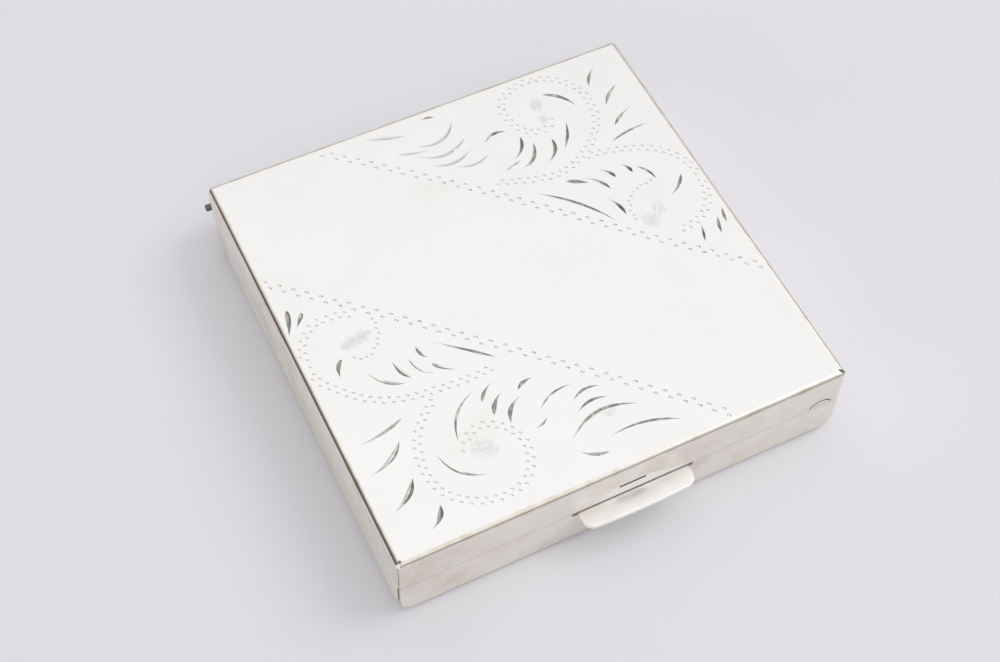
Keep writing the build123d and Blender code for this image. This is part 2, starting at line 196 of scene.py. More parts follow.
def tarnish_and_painted_dark_cut():
    """The steep side of a cut: grey tarnish that polishing misses, painted darker as well to stand in
    for the dark reflection a steep facet shows.
    """
    s = Surface("tarnish_and_painted_dark_cut", (0.32, 0.31, 0.3), 0.36, 1.0)
    streaks = s.math("ADD", s.math("MULTIPLY", s.noise(0.35 * MM, 3, (1, 0.2, 1), 0.5), 0.4),
                     s.math("MULTIPLY", s.noise(1.3 * MM, 2), 0.6))
    s.link(s.colours(streaks, [(0.34, (0.19, 0.185, 0.18)), (0.5, (0.36, 0.35, 0.335)),
                               (0.66, (0.68, 0.66, 0.64))]), "Base Color")
    s.bump(streaks, 0.01 * MM)
    return s.material


def matted_silver():
    """The finely stroked ground inside the scrolls."""
    s = Surface("matted_silver", (0.9, 0.88, 0.85), 0.46, 1.0)
    strokes = s.noise(0.5 * MM, 3)
    s.link(s.colours(strokes, [(0.35, (0.74, 0.73, 0.71)), (0.65, (0.88, 0.87, 0.85))]), "Base Color")
    s.bump(s.noise(0.1 * MM, 2), 0.004 * MM)
    return s.material


def gilt():
    """Thin gold wash over brass, inside the case."""
    s = Surface("gilt", (0.95, 0.8, 0.54), 0.24, 1.0)
    wear = s.levels(s.noise(7 * MM, 5, rough=0.6), 0.5, 0.75)
    s.link(s.colours(wear, [(0.0, (0.96, 0.82, 0.56)), (0.6, (0.93, 0.78, 0.53)),
                            (1.0, (0.82, 0.7, 0.52))]), "Base Color")
    s.link(s.levels(s.noise(2 * MM, 4), 0.3, 0.7, 0.2, 0.34), "Roughness")
    lines = s.noise(0.12 * MM, 2, (0.02, 1, 1), 0.05)
    s.bump(s.levels(lines, 0.5, 0.7), 0.001 * MM)
    return s.material


def brass_wire():
    s = Surface("brass_wire", (0.86, 0.72, 0.45), 0.32, 1.0)
    tone = s.noise(0.6 * MM, 4)
    s.link(s.colours(tone, [(0.3, (0.74, 0.6, 0.36)), (0.7, (0.9, 0.77, 0.5))]), "Base Color")
    s.bump(s.noise(0.05 * MM, 2), 0.004 * MM)
    return s.material


def aged_brass():
    """The catch blade, brown where hands don't reach."""
    s = Surface("aged_brass", (0.7, 0.55, 0.35), 0.4, 1.0)
    tone = s.noise(0.8 * MM, 4)
    s.link(s.colours(tone, [(0.3, (0.6, 0.46, 0.28)), (0.7, (0.8, 0.64, 0.42))]), "Base Color")
    s.bump(s.noise(0.12 * MM, 3, (0.1, 1, 1)), 0.004 * MM)
    return s.material


def spring_steel():
    """Drawn wire and rolled spring strip, with the rolling marks along X."""
    s = Surface("spring_steel", (0.62, 0.61, 0.6), 0.3, 1.0)
    lines = s.noise(0.08 * MM, 3, (0.03, 1, 1))
    s.link(s.colours(lines, [(0.3, (0.5, 0.49, 0.48)), (0.7, (0.68, 0.67, 0.66))]), "Base Color")
    s.link(s.levels(s.noise(1 * MM, 3), 0.3, 0.7, 0.24, 0.42), "Roughness")
    s.bump(lines, 0.002 * MM)
    return s.material


def aged_steel():
    """The hinge pin: steel wire, dark with age at its ends."""
    s = Surface("aged_steel", (0.2, 0.19, 0.18), 0.45, 1.0)
    s.link(s.colours(s.noise(0.3 * MM, 4), [(0.3, (0.13, 0.12, 0.11)), (0.7, (0.26, 0.25, 0.24))]),
           "Base Color")
    s.bump(s.noise(0.1 * MM, 3), 0.006 * MM)
    return s.material


def mirror_silvering():
    s = Surface("mirror_silvering", (0.93, 0.95, 0.95), 0.02, 1.0)
    haze = s.levels(s.noise(5 * MM, 5, rough=0.65), 0.5, 0.8, 0.01, 0.07)
    s.link(haze, "Roughness")
    specks = s.levels(s.noise(0.7 * MM, 4), 0.76, 0.82)
    s.link(s.colours(specks, [(0.0, (0.93, 0.95, 0.95)), (1.0, (0.6, 0.58, 0.55))]), "Base Color")
    return s.material


def backing_card():
    s = Surface("backing_card", (0.42, 0.36, 0.3), 0.9)
    fibres = s.noise(0.3 * MM, 5, (1, 0.3, 1))
    s.link(s.colours(fibres, [(0.3, (0.34, 0.29, 0.24)), (0.7, (0.5, 0.44, 0.37))]), "Base Color")
    s.bump(fibres, 0.02 * MM)
    return s.material


def velour(name="velour", pile=0.12 * MM):
    """Short peach pile: soft sheen, painted shade between the tufts, brushed this way and that."""
    s = Surface(name, (0.89, 0.73, 0.6), 0.95, Sheen_Weight=0.6, Sheen_Roughness=0.45,
                Sheen_Tint=(1.0, 0.9, 0.82, 1.0))
    brushed = s.noise(3.5 * MM, 4, rough=0.6)
    tufts = s.noise(0.22 * MM, 3)
    # Darker where the tufts are low: painted shade between the tufts, over lighter and darker brushed
    # patches.
    tone = s.math("ADD", s.math("MULTIPLY", brushed, 0.6), s.math("MULTIPLY", tufts, 0.4))
    s.link(s.colours(tone, [(0.32, (0.78, 0.6, 0.46)), (0.5, (0.89, 0.73, 0.6)),
                            (0.68, (0.95, 0.83, 0.72))]), "Base Color")
    s.bump(tufts, pile)
    s.bump(s.noise(0.07 * MM, 2), 0.03 * MM)
    return s.material


def woven(name, color, dark, pitch, roughness, sheen, across=1.0):
    """Plain-woven threads along X and Y, with painted shade in the gaps between them; across is how much
    wider one set of threads is.
    """
    s = Surface(name, color, roughness, Sheen_Weight=sheen, Sheen_Roughness=0.4)
    heights = []
    for axis, width in (("X", pitch * across), ("Y", pitch)):
        threads = s.node("TexWave", Vector=s.place, Scale=math.tau / (20 * width), Distortion=0.6,
                         Detail=2.0, Detail_Scale=6.0)
        threads.bands_direction = axis
        heights.append(threads.outputs["Fac"])
    weave = s.math("MAXIMUM", *heights)
    fibres = s.noise(pitch * 0.4, 3)
    # Darker where the threads are low: painted shade in the gaps between threads, plus fibre tone.
    tone = s.math("ADD", s.math("MULTIPLY", weave, 0.7), s.math("MULTIPLY", fibres, 0.3))
    s.link(s.colours(tone, [(0.25, dark), (0.75, color)]), "Base Color")
    s.bump(weave, pitch * 0.25)
    s.bump(fibres, pitch * 0.08)
    return s.material


def face_powder():
    """Pressed and sifted beige powder."""
    s = Surface("face_powder", (0.86, 0.68, 0.54), 0.95, Sheen_Weight=0.25, Sheen_Roughness=0.6)
    drift = s.noise(5 * MM, 5, rough=0.6)
    s.link(s.colours(drift, [(0.3, (0.79, 0.6, 0.46)), (0.7, (0.9, 0.74, 0.61))]), "Base Color")
    s.bump(s.noise(0.09 * MM, 4), 0.05 * MM)
    s.bump(s.noise(0.8 * MM, 4), 0.05 * MM)
    return s.material


# ---- camera, light and floor ------------------------------------------------------------------
VIEW_AZIMUTH = math.radians(27.56)       # the camera stands to the left of the front and looks right
VIEW_ELEVATION = math.radians(57.03)
VIEW_ROLL = math.radians(1.68)
VIEW_DISTANCE = 3.423 * SIDE
VIEW_AIM = Vector((-0.0900 * SIDE, -0.1039 * SIDE, TOP - 0.23 * MM))
LENS_MM = 60.15


def add_camera():
    sin_a, cos_a = math.sin(VIEW_AZIMUTH), math.cos(VIEW_AZIMUTH)
    sin_e, cos_e = math.sin(VIEW_ELEVATION), math.cos(VIEW_ELEVATION)
    forward = Vector((sin_a * cos_e, cos_a * cos_e, -sin_e))
    level_right = Vector((cos_a, -sin_a, 0))
    level_up = level_right.cross(forward)
    right = level_right * math.cos(VIEW_ROLL) + level_up * math.sin(VIEW_ROLL)
    up = right.cross(forward)
    turn = Matrix((right, up, -forward)).transposed().to_4x4()
    camera = bpy.data.objects.new("camera", bpy.data.cameras.new("camera"))
    camera.matrix_world = Matrix.Translation(VIEW_AIM - forward * VIEW_DISTANCE) @ turn
    camera.data.lens = LENS_MM
    camera.data.sensor_width = 36
    camera.data.clip_start = 0.01
    bpy.context.scene.collection.objects.link(camera)
    bpy.context.scene.camera = camera


def add_softbox(name, azimuth, elevation, distance, size, power, color=(1, 1, 1)):
    """A square area light that looks at the object; azimuth is measured from +Y towards +X."""
    azimuth, elevation = math.radians(azimuth), math.radians(elevation)
    away = Vector((math.sin(azimuth) * math.cos(elevation), math.cos(azimuth) * math.cos(elevation),
                   math.sin(elevation)))
    data = bpy.data.lights.new(name, "AREA")
    data.shape = "SQUARE"
    data.size = size
    data.energy = power
    data.color = color
    light = bpy.data.objects.new(name, data)
    light.location = away * distance
    light.rotation_euler = away.to_track_quat("Z", "Y").to_euler()
    bpy.context.scene.collection.objects.link(light)


# Height of the direction (0 at the horizon, 1 overhead) and brightness there.
WORLD_LEVELS = [(0.0, 0.5), (0.3, 0.54), (0.5, 0.72), (0.73, 0.9), (0.86, 0.96), (1.0, 1.0)]
# Where the studio is dimmer: direction, then cosine of the angle from it and strength, near and far.
WORLD_DIMMING = [
    ((-1, 0.0, 0.0), 0.95, 0.5, 0.35, 1.0),
    ((-0.83, 0.48, 0.25), 0.97, 0.34, 0.6, 1.0),
    ((0, -1, -0.2), 0.95, 0.65, 0.6, 1.0),
]


def new_stops(ramp, count):
    while len(ramp.color_ramp.elements) < count:
        ramp.color_ramp.elements.new(0.5)
    return ramp.color_ramp.elements


def add_world():
    """A pale studio: bright overhead, greyer near the horizon, dimmer to the left and to the front."""
    world = bpy.data.worlds.new("studio")
    bpy.context.scene.world = world
    world.use_nodes = True
    tree = world.node_tree
    background = tree.nodes["Background"]
    place = tree.nodes.new("ShaderNodeTexCoord").outputs["Generated"]
    split = tree.nodes.new("ShaderNodeSeparateXYZ")
    ramp = tree.nodes.new("ShaderNodeValToRGB")
    tree.links.new(place, split.inputs[0])
    tree.links.new(split.outputs["Z"], ramp.inputs["Fac"])
    tree.links.new(ramp.outputs["Color"], background.inputs["Color"])
    for element, (position, level) in zip(new_stops(ramp, len(WORLD_LEVELS)), WORLD_LEVELS):
        element.position = position
        element.color = (level, level, level * 1.01, 1)
    strength = None
    for direction, near, near_level, far, far_level in WORLD_DIMMING:
        towards = tree.nodes.new("ShaderNodeVectorMath")
        towards.operation = "DOT_PRODUCT"
        towards.inputs[1].default_value = Vector(direction).normalized()
        tree.links.new(place, towards.inputs[0])
        level = tree.nodes.new("ShaderNodeMapRange")
        level.interpolation_type = "SMOOTHSTEP"
        for name, value in (("From Min", far), ("From Max", near), ("To Min", far_level),
                            ("To Max", near_level)):
            level.inputs[name].default_value = value
        tree.links.new(towards.outputs["Value"], level.inputs["Value"])
        if strength:
            product = tree.nodes.new("ShaderNodeMath")
            product.operation = "MULTIPLY"
            tree.links.new(strength, product.inputs[0])
            tree.links.new(level.outputs["Result"], product.inputs[1])
            strength = product.outputs[0]
        else:
            strength = level.outputs["Result"]
    tree.links.new(strength, background.inputs["Strength"])


def add_floor():
    """A pale, faintly lilac table covering."""
    s = Surface("pale_covering", (0.84, 0.832, 0.868), 0.75)
    tone = s.noise(60 * MM, 4)
    s.link(s.colours(tone, [(0.3, (0.825, 0.818, 0.856)), (0.7, (0.85, 0.842, 0.878))]), "Base Color")
    s.bump(s.noise(0.35 * MM, 3, (1, 0.15, 1)), 0.01 * MM)
    mesh = bpy.data.meshes.new("floor")
    reach = 25 * SIDE
    mesh.from_pydata([(-reach, -reach, 0), (reach, -reach, 0), (reach, reach, 0), (-reach, reach, 0)],
                     [], [(0, 1, 2, 3)])
    floor = bpy.data.objects.new("floor", mesh)
    floor.location.z = -0.02 * MM
    mesh.materials.append(s.material)
    bpy.context.scene.collection.objects.link(floor)


# ---- engraving --------------------------------------------------------------------------------
# Millimetres on the lid's top, from its centre: x to the right, y towards the hinge.
DOT_PITCH = 0.98          # from one punched dot to the next, which lies in the other row
DOT_ROW_GAP = 0.74        # between the two rows of a dotted line
DOT_RADIUS = 0.24
DOT_DEPTH = 0.14
DOT_CORNERS = 9
DOT_STRETCH = (1.3, 0.82)     # the punch is a short dash
DOT_LIE = Vector((0.86, -0.51))
DOT_FLOOR_WIDTH = 0.55        # a dot's flat floor, as shares of its radius and depth
DOT_FLOOR_DEPTH = 0.8
DOT_WANDER = 0.05             # how far hand work strays from the line
SCROLL_DOT, SCROLL_PITCH = 0.8, 0.62      # size and pitch, as shares of a border's
CURL_DOT, CURL_PITCH, CURL_ROW_GAP = 0.75, 0.85, 0.2
CUT_STEPS = 14
TAPER = 1.2               # how quickly a cut narrows towards its ends
STEEP_SHARE = 0.58        # share of a cut's width on its dark side
CUT_DEPTH_RATIO = 0.42    # depth as a share of width
CUT_CLEARANCE = 0.3       # room kept beside a cut, as a share of its width
HATCH_DEPTH_RATIO = 0.06
HATCH_WIDTH_RATIO = 0.8   # stroke width as a share of the spacing
HATCH_BOW = 0.05
HATCH_STEPS = 7
PATTERN_SHIFT = Vector((-0.24, -0.65))     # the pattern sits slightly left of and before the middle
EDGE_MARGIN = 0.8         # the engraving stops this far from the lid's sides

BORDERS = [
    [(-31.4, 14.7), (-24.7, 8.6), (-16.0, 0.7), (-6.0, -8.8), (4.5, -19.0), (12.6, -27.0),
     (15.6, -30.2)],
    [(-14.9, 31.1), (-5.3, 22.8), (3.0, 15.1), (11.8, 6.5), (19.3, -0.9), (26.0, -7.2),
     (31.0, -12.0)],
]
SCROLLS = [
    [(-21.8, 4.6), (-24.5, 5.4), (-27.4, 5.2), (-29.6, 3.2), (-30.5, 0.4), (-30.2, -2.6),
     (-28.2, -5.4), (-25.4, -8.1), (-21.8, -9.9), (-17.4, -10.6), (-12.6, -10.9), (-8.6, -10.6)],
    [(-18.0, -12.0), (-20.2, -13.7), (-22.2, -16.2), (-23.1, -19.4), (-23.1, -22.0),
     (-22.2, -24.6), (-20.2, -26.6), (-17.2, -27.9), (-14.0, -27.9), (-11.5, -26.5), (-10.2, -24.0),
     (-10.2, -21.5), (-11.6, -19.1), (-14.0, -17.8), (-16.3, -18.6), (-17.4, -20.6)],
    [(16.8, 23.8), (16.2, 22.2), (14.2, 21.8), (12.5, 22.8), (11.5, 24.8), (11.1, 27.2),
     (12.2, 29.4), (14.6, 30.6), (17.4, 30.9), (20.3, 29.8), (22.3, 27.7), (23.3, 25.2),
     (23.2, 22.2), (22.2, 19.4), (20.1, 17.0), (17.2, 15.0), (13.8, 13.8), (10.4, 14.2),
     (7.0, 15.3), (4.6, 16.3)],
    [(18.6, 14.9), (21.4, 14.5), (25.2, 13.3), (28.2, 11.6), (30.2, 9.0), (30.9, 5.6),
     (30.5, 2.4), (29.0, -0.2), (26.4, -1.6), (23.6, -2.0)],
]
CURLS = [     # single rows of dots that close a scroll's eye
    [(-19.9, 2.9), (-20.0, 0.8), (-21.0, -1.2), (-22.9, -2.3), (-25.0, -1.5)],
    [(24.4, 7.2), (22.3, 7.0), (20.4, 6.0), (19.4, 4.0), (19.3, 2.0)],
]

# Bright cuts: start, end, bow (to the left of the way from start to end), width, and where along
# the cut it is widest.
CUTS = [
    # lower left corner
    (-29.6, 8.9, -30.8, 4.9, 0.1, 0.7, 0.3), (-27.9, 7.7, -29.4, 5.7, 0.0, 0.6, 0.25),
    (-26.0, -1.2, -27.2, -3.7, -0.3, 0.6, 0.35), (-24.0, -4.2, -19.9, -8.1, -0.7, 0.5, 0.6),
    (-20.3, -4.2, -18.9, -7.7, -0.3, 0.62, 0.6), (-18.2, -4.7, -16.0, -8.3, -0.6, 0.3, 0.5),
    (-16.6, -3.6, -15.6, -5.9, -0.3, 0.45, 0.4), (-15.8, -6.8, -13.1, -9.1, -0.1, 0.6, 0.3),
    (-15.0, -3.2, -7.8, -9.5, 0.0, 0.42, 0.7), (-30.0, -13.9, -22.5, -12.5, -0.4, 0.5, 0.7),
    (-30.0, -18.5, -24.2, -15.4, -0.75, 0.7, 0.65), (-29.4, -24.5, -24.9, -20.9, -0.6, 0.8, 0.65),
    (-26.0, -28.5, -23.4, -25.7, -0.5, 0.7, 0.65), (-20.9, -19.1, -16.2, -24.5, -1.1, 0.45, 0.5),
    (-12.8, -12.9, -17.6, -19.05, -1.2, 0.33, 0.5), (-8.7, -12.4, -12.4, -14.8, -0.55, 0.5, 0.8),
    (-7.8, -14.0, -11.8, -17.2, -0.75, 0.65, 0.8), (-4.9, -14.3, -7.5, -15.2, -0.3, 0.55, 0.6),
    (-7.2, -16.0, -10.4, -19.2, -0.7, 0.6, 0.65), (-6.0, -20.4, -7.9, -21.2, 0.2, 0.35, 0.5),
    (-0.9, -17.35, -6.2, -19.05, -0.65, 0.3, 0.5), (2.3, -19.1, -1.8, -19.7, -0.6, 0.4, 0.5),
    (2.5, -21.0, -2.1, -21.5, -0.6, 0.42, 0.5), (5.7, -23.7, -4.5, -24.7, -1.75, 0.52, 0.5),
    (9.4, -28.0, -0.3, -26.4, -0.9, 0.36, 0.4), (-1.1, -28.15, -4.5, -26.6, 0.35, 0.5, 0.4),
    # upper right corner
    (-8.8, 31.0, -2.8, 29.1, -0.1, 0.5, 0.5), (0.0, 30.8, 2.0, 30.5, 0.2, 0.4, 0.5),
    (-5.6, 26.5, -1.2, 25.4, -0.1, 0.4, 0.4), (-2.9, 26.9, 3.9, 28.8, -1.65, 0.5, 0.5),
    (-3.7, 25.4, 4.5, 25.5, -1.75, 0.55, 0.6), (-2.2, 22.8, 4.4, 23.3, -1.15, 0.45, 0.5),
    (0.9, 21.1, 6.5, 21.5, -0.9, 0.4, 0.5), (6.5, 23.2, 10.1, 23.8, 0.6, 0.5, 0.5),
    (11.4, 22.1, 8.8, 18.7, 0.6, 0.5, 0.35), (12.6, 20.4, 8.9, 16.6, 0.9, 0.55, 0.45),
    (9.7, 18.3, 6.8, 17.4, 0.0, 0.4, 0.5), (15.3, 19.9, 12.8, 16.2, 0.75, 0.55, 0.35),
    (18.6, 22.0, 16.2, 17.5, 0.3, 0.45, 0.55), (17.7, 27.7, 21.3, 23.8, 0.6, 0.55, 0.4),
    (27.3, 29.4, 24.7, 26.3, -0.35, 0.5, 0.65), (28.8, 25.1, 25.2, 22.0, -0.35, 0.5, 0.6),
    (30.3, 20.9, 24.6, 18.2, -0.45, 0.5, 0.8), (29.5, 16.6, 22.5, 15.6, -0.35, 0.4, 0.6),
    (9.0, 12.0, 16.8, 3.1, 0.7, 0.42, 0.5), (13.6, 12.2, 16.5, 10.6, 0.0, 0.65, 0.4),
    (15.5, 12.0, 18.7, 8.4, 0.5, 0.5, 0.75), (18.2, 12.3, 20.3, 9.8, 0.4, 0.5, 0.75),
    (21.7, 11.8, 22.8, 9.6, 0.3, 0.5, 0.7), (23.7, 10.4, 25.3, 7.1, 0.35, 0.38, 0.5),
    (17.2, 7.5, 18.5, 3.5, 0.35, 0.5, 0.7), (28.7, 6.5, 25.6, 3.8, 0.4, 0.45, 0.3),
    (26.9, -2.5, 26.0, -5.2, 0.0, 0.36, 0.5), (29.7, -2.1, 28.8, -4.9, -0.1, 0.45, 0.5),
    (31.0, -1.1, 30.4, -3.5, -0.1, 0.45, 0.5),
]
# Patches of fine parallel strokes inside the scrolls' eyes: centre, stroke direction in degrees,
# half length of the longest stroke, number of strokes and spacing.
HATCHES = [
    (-23.1, 0.75, 104, 1.4, 36, 0.13),
    (-15.0, -21.0, 48, 2.1, 26, 0.14),
    (16.2, 26.4, 80, 1.9, 9, 0.2), (16.0, 23.6, 30, 1.0, 8, 0.2), (21.2, 1.2, 112, 2.1, 10, 0.22),
    (23.1, 2.6, 62, 1.8, 9, 0.22), (1.6, -23.1, 170, 1.6, 4, 0.25),
]
FLAT, CUT_SPINE, STEEP_RIM, SHALLOW_RIM, FINE_SPINE, DOT_FLOOR = range(6)


def smooth_path(points, step=0.05):
    """Points every step along a Catmull-Rom curve through the given ones."""
    ends = [tuple(2 * a - b for a, b in zip(points[0], points[1])),
            tuple(2 * a - b for a, b in zip(points[-1], points[-2]))]
    knots = [Vector(p) for p in (ends[0], *points, ends[1])]
    dense = []
    for p0, p1, p2, p3 in zip(knots, knots[1:], knots[2:], knots[3:]):
        for i in range(40):
            t = i / 40
            dense.append(0.5 * (2 * p1 + (p2 - p0) * t + (2 * p0 - 5 * p1 + 4 * p2 - p3) * t ** 2
                                + (3 * p1 - p0 - 3 * p2 + p3) * t ** 3))
    dense.append(knots[-2])
    walked, wanted, path = 0.0, 0.0, []
    for a, b in zip(dense, dense[1:]):
        length = (b - a).length
        while wanted <= walked + length and length > 0:
            path.append((a.lerp(b, (wanted - walked) / length), (b - a).normalized()))
            wanted += step
        walked += length
    return path


def dotted_line(points, row_gap, pitch):
    """Centres of the punched dots, which fall by turns on the two sides of the line."""
    centres = []
    for index, (point, along) in enumerate(smooth_path(points, pitch)):
        side = row_gap / 2 * (1 if index % 2 else -1)
        wander = Vector((rng.uniform(-DOT_WANDER, DOT_WANDER), rng.uniform(-DOT_WANDER, DOT_WANDER)))
        centres.append(point + Vector((-along.y, along.x)) * side + wander)
    return centres


def bowed(x0, y0, x1, y1, bow, t):
    """Point and left normal at t along a shallow arc."""
    start, end = Vector((x0, y0)), Vector((x1, y1))
    chord = end - start
    left = Vector((-chord.y, chord.x)).normalized()
    point = start + chord * t + left * bow * 4 * t * (1 - t)
    along = (chord + left * bow * 4 * (1 - 2 * t)).normalized()
    return point, Vector((-along.y, along.x))


class Engraving:
    """Vertices, edges and depths of everything cut into one flat face, before triangulation."""

    def __init__(self):
        self.points, self.depths, self.kinds, self.edges = [], [], [], []
        self.taken = []

    def add(self, point, depth=0.0, kind=FLAT):
        self.points.append(Vector(point) + PATTERN_SHIFT)
        self.depths.append(depth)
        self.kinds.append(kind)
        return len(self.points) - 1

    def chain(self, indices):
        self.edges += list(zip(indices, indices[1:]))

    def loop(self, indices):
        self.chain([*indices, indices[0]])

    def clear_of(self, samples, reach):
        """True, and the space is taken, if no earlier mark comes within reach of these points."""
        for sample in samples:
            for other, other_reach in self.taken:
                if (sample - other).length < reach + other_reach:
                    return False
        self.taken += [(sample, reach) for sample in samples]
        return True

    def dot(self, centre, radius, depth):
        limit = SIDE / MM / 2 - EDGE_MARGIN - radius
        place = centre + PATTERN_SHIFT
        if max(abs(place.x), abs(place.y)) > limit or not self.clear_of([centre], radius):
            return
        turn = rng.uniform(0, math.tau)
        floor_ring = (radius * DOT_FLOOR_WIDTH, depth * DOT_FLOOR_DEPTH, DOT_FLOOR)
        for ring, ring_depth, kind in ((radius, 0.0, FLAT), floor_ring):
            ids = []
            for corner in range(DOT_CORNERS):
                angle = turn + math.tau * corner / DOT_CORNERS
                along = DOT_LIE * math.cos(angle) * DOT_STRETCH[0]
                across = Vector((-DOT_LIE.y, DOT_LIE.x)) * math.sin(angle) * DOT_STRETCH[1]
                offset = (along + across) * ring
                ids.append(self.add(centre + offset, ring_depth, kind))
            self.loop(ids)
        self.add(centre, depth, DOT_FLOOR)

    def cut(self, x0, y0, x1, y1, bow, width, peak, steps=CUT_STEPS, depth_ratio=CUT_DEPTH_RATIO,
            fine=False):
        """A V-shaped cut that tapers to both ends; its steep side, painted dark, is on the outside of
        the bow.
        """
        outside = 1 if bow >= 0 else -1
        skew = math.log(0.5) / math.log(peak)
        spine, steep, shallow = [], [], []
        for step in range(1, steps):
            t = step / steps
            local = width * math.sin(math.pi * t ** skew) ** TAPER
            point, left = bowed(x0, y0, x1, y1, bow, t)
            spine.append((point, local * depth_ratio))
            steep.append(point + left * outside * local * STEEP_SHARE)
            shallow.append(point - left * outside * local * (1 - STEEP_SHARE))
        if not self.clear_of([point for point, _ in spine], width * CUT_CLEARANCE):
            return
        start, end = self.add((x0, y0)), self.add((x1, y1))
        steep_ids = [self.add(p, 0.0, STEEP_RIM) for p in steep]
        shallow_ids = [self.add(p, 0.0, SHALLOW_RIM) for p in shallow]
        kind = FINE_SPINE if fine else CUT_SPINE
        spine_ids = [self.add(p, depth, kind) for p, depth in spine]
        self.loop([start, *steep_ids, end, *reversed(shallow_ids)])
        self.chain([start, *spine_ids, end])

    def hatch(self, x, y, direction, half, count, spacing):
        """Short parallel graver strokes that fade out at the patch's sides."""
        angle = math.radians(direction)
        along = Vector((math.cos(angle), math.sin(angle)))
        across = Vector((-along.y, along.x))
        for index in range(count):
            place = (index - (count - 1) / 2) / (count / 2)
            reach = half * math.sqrt(max(0.15, 1 - place ** 2)) * rng.uniform(0.75, 1.1)
            middle = Vector((x, y)) + across * (index - (count - 1) / 2) * spacing
            middle += along * rng.uniform(-0.2, 0.2)
            a, b = middle - along * reach, middle + along * reach
            width = spacing * HATCH_WIDTH_RATIO
            self.cut(a.x, a.y, b.x, b.y, HATCH_BOW, width, 0.5, HATCH_STEPS, HATCH_DEPTH_RATIO, True)


def engrave():
    marks = Engraving()
    for cut in CUTS:
        marks.cut(*cut)
    for hatch in HATCHES:
        marks.hatch(*hatch)
    for border in BORDERS:
        for centre in dotted_line(border, DOT_ROW_GAP, DOT_PITCH):
            marks.dot(centre, DOT_RADIUS, DOT_DEPTH)
    for scroll in SCROLLS:
        for centre in dotted_line(scroll, DOT_ROW_GAP, DOT_PITCH * SCROLL_PITCH):
            marks.dot(centre, DOT_RADIUS * SCROLL_DOT, DOT_DEPTH * SCROLL_DOT)
    for curl in CURLS:
        for centre in dotted_line(curl, CURL_ROW_GAP, DOT_PITCH * CURL_PITCH):
            marks.dot(centre, DOT_RADIUS * CURL_DOT, DOT_DEPTH * CURL_DOT)
    return marks


# The lid's finishes, in the order of its material slots.
SILVER, SATIN, GILT, BRIGHT, DARK, MATTED, BURNISHED, EDGE_TARNISH_AND_REFLECTION = range(8)
WALL_REACH = 0.65 * MM        # faces further in than this, and below the top's sheet, are inside
TOP_REACH = 0.5 * MM
SLIT_REACH = 0.25 * MM        # the open mitre cuts at least this far into the front corners
PANEL_TOP = 2.5 * MM          # the pressed thumb panel lies more than this below the top
MARK_TOP = 3 * MM             # the punch mark lies more than this below the top
MARK_SIDE = 6 * MM            # and less than this from the right side


def lid_finish(face):
    """Which finish a carried-over face has, from where it lies and where it looks."""
    centre, normal = face.calc_center_median(), face.normal
    across, along = abs(centre.x), abs(centre.y)
    half = SIDE / 2
    if max(across, along) < half - WALL_REACH and centre.z < TOP - TOP_REACH:
        return GILT
    upright = abs(normal.z) < 0.12
    diagonal = abs(abs(normal.x) - abs(normal.y)) < 0.05
    # The faces inside the open mitre slits at the front corners get the dark cut finish: painted shadow
    # in the slit.
    if upright and diagonal and min(across, along) < half - SLIT_REACH and centre.y < 0:
        return DARK
    if -normal.y > 0.9 and 0.12 < normal.z < 0.4 and centre.z < TOP - PANEL_TOP:
        return BURNISHED
    behind_wall = 0.02 * MM < half - along < 0.2 * MM and centre.x > half - MARK_SIDE
    if behind_wall and centre.y < 0 and across < half - 1 * MM and centre.z < TOP - MARK_TOP:
        return DARK
    # Faces that are not upright, the bends and rims, get the edge finish: tarnish with painted dark
    # reflection.
    return SATIN if upright else EDGE_TARNISH_AND_REFLECTION


def mark_finish(kinds):
    """Which finish a face of the engraved top has, from what its corners belong to."""
    if DOT_FLOOR in kinds:
        return BRIGHT
    if FINE_SPINE in kinds:
        return MATTED
    if CUT_SPINE in kinds:
        # The steep facet gets the dark finish, tarnish with painted shade and reflection, and the
        # shallow facet of the same silver the bright one.
        return DARK if STEEP_RIM in kinds else BRIGHT
    return SILVER


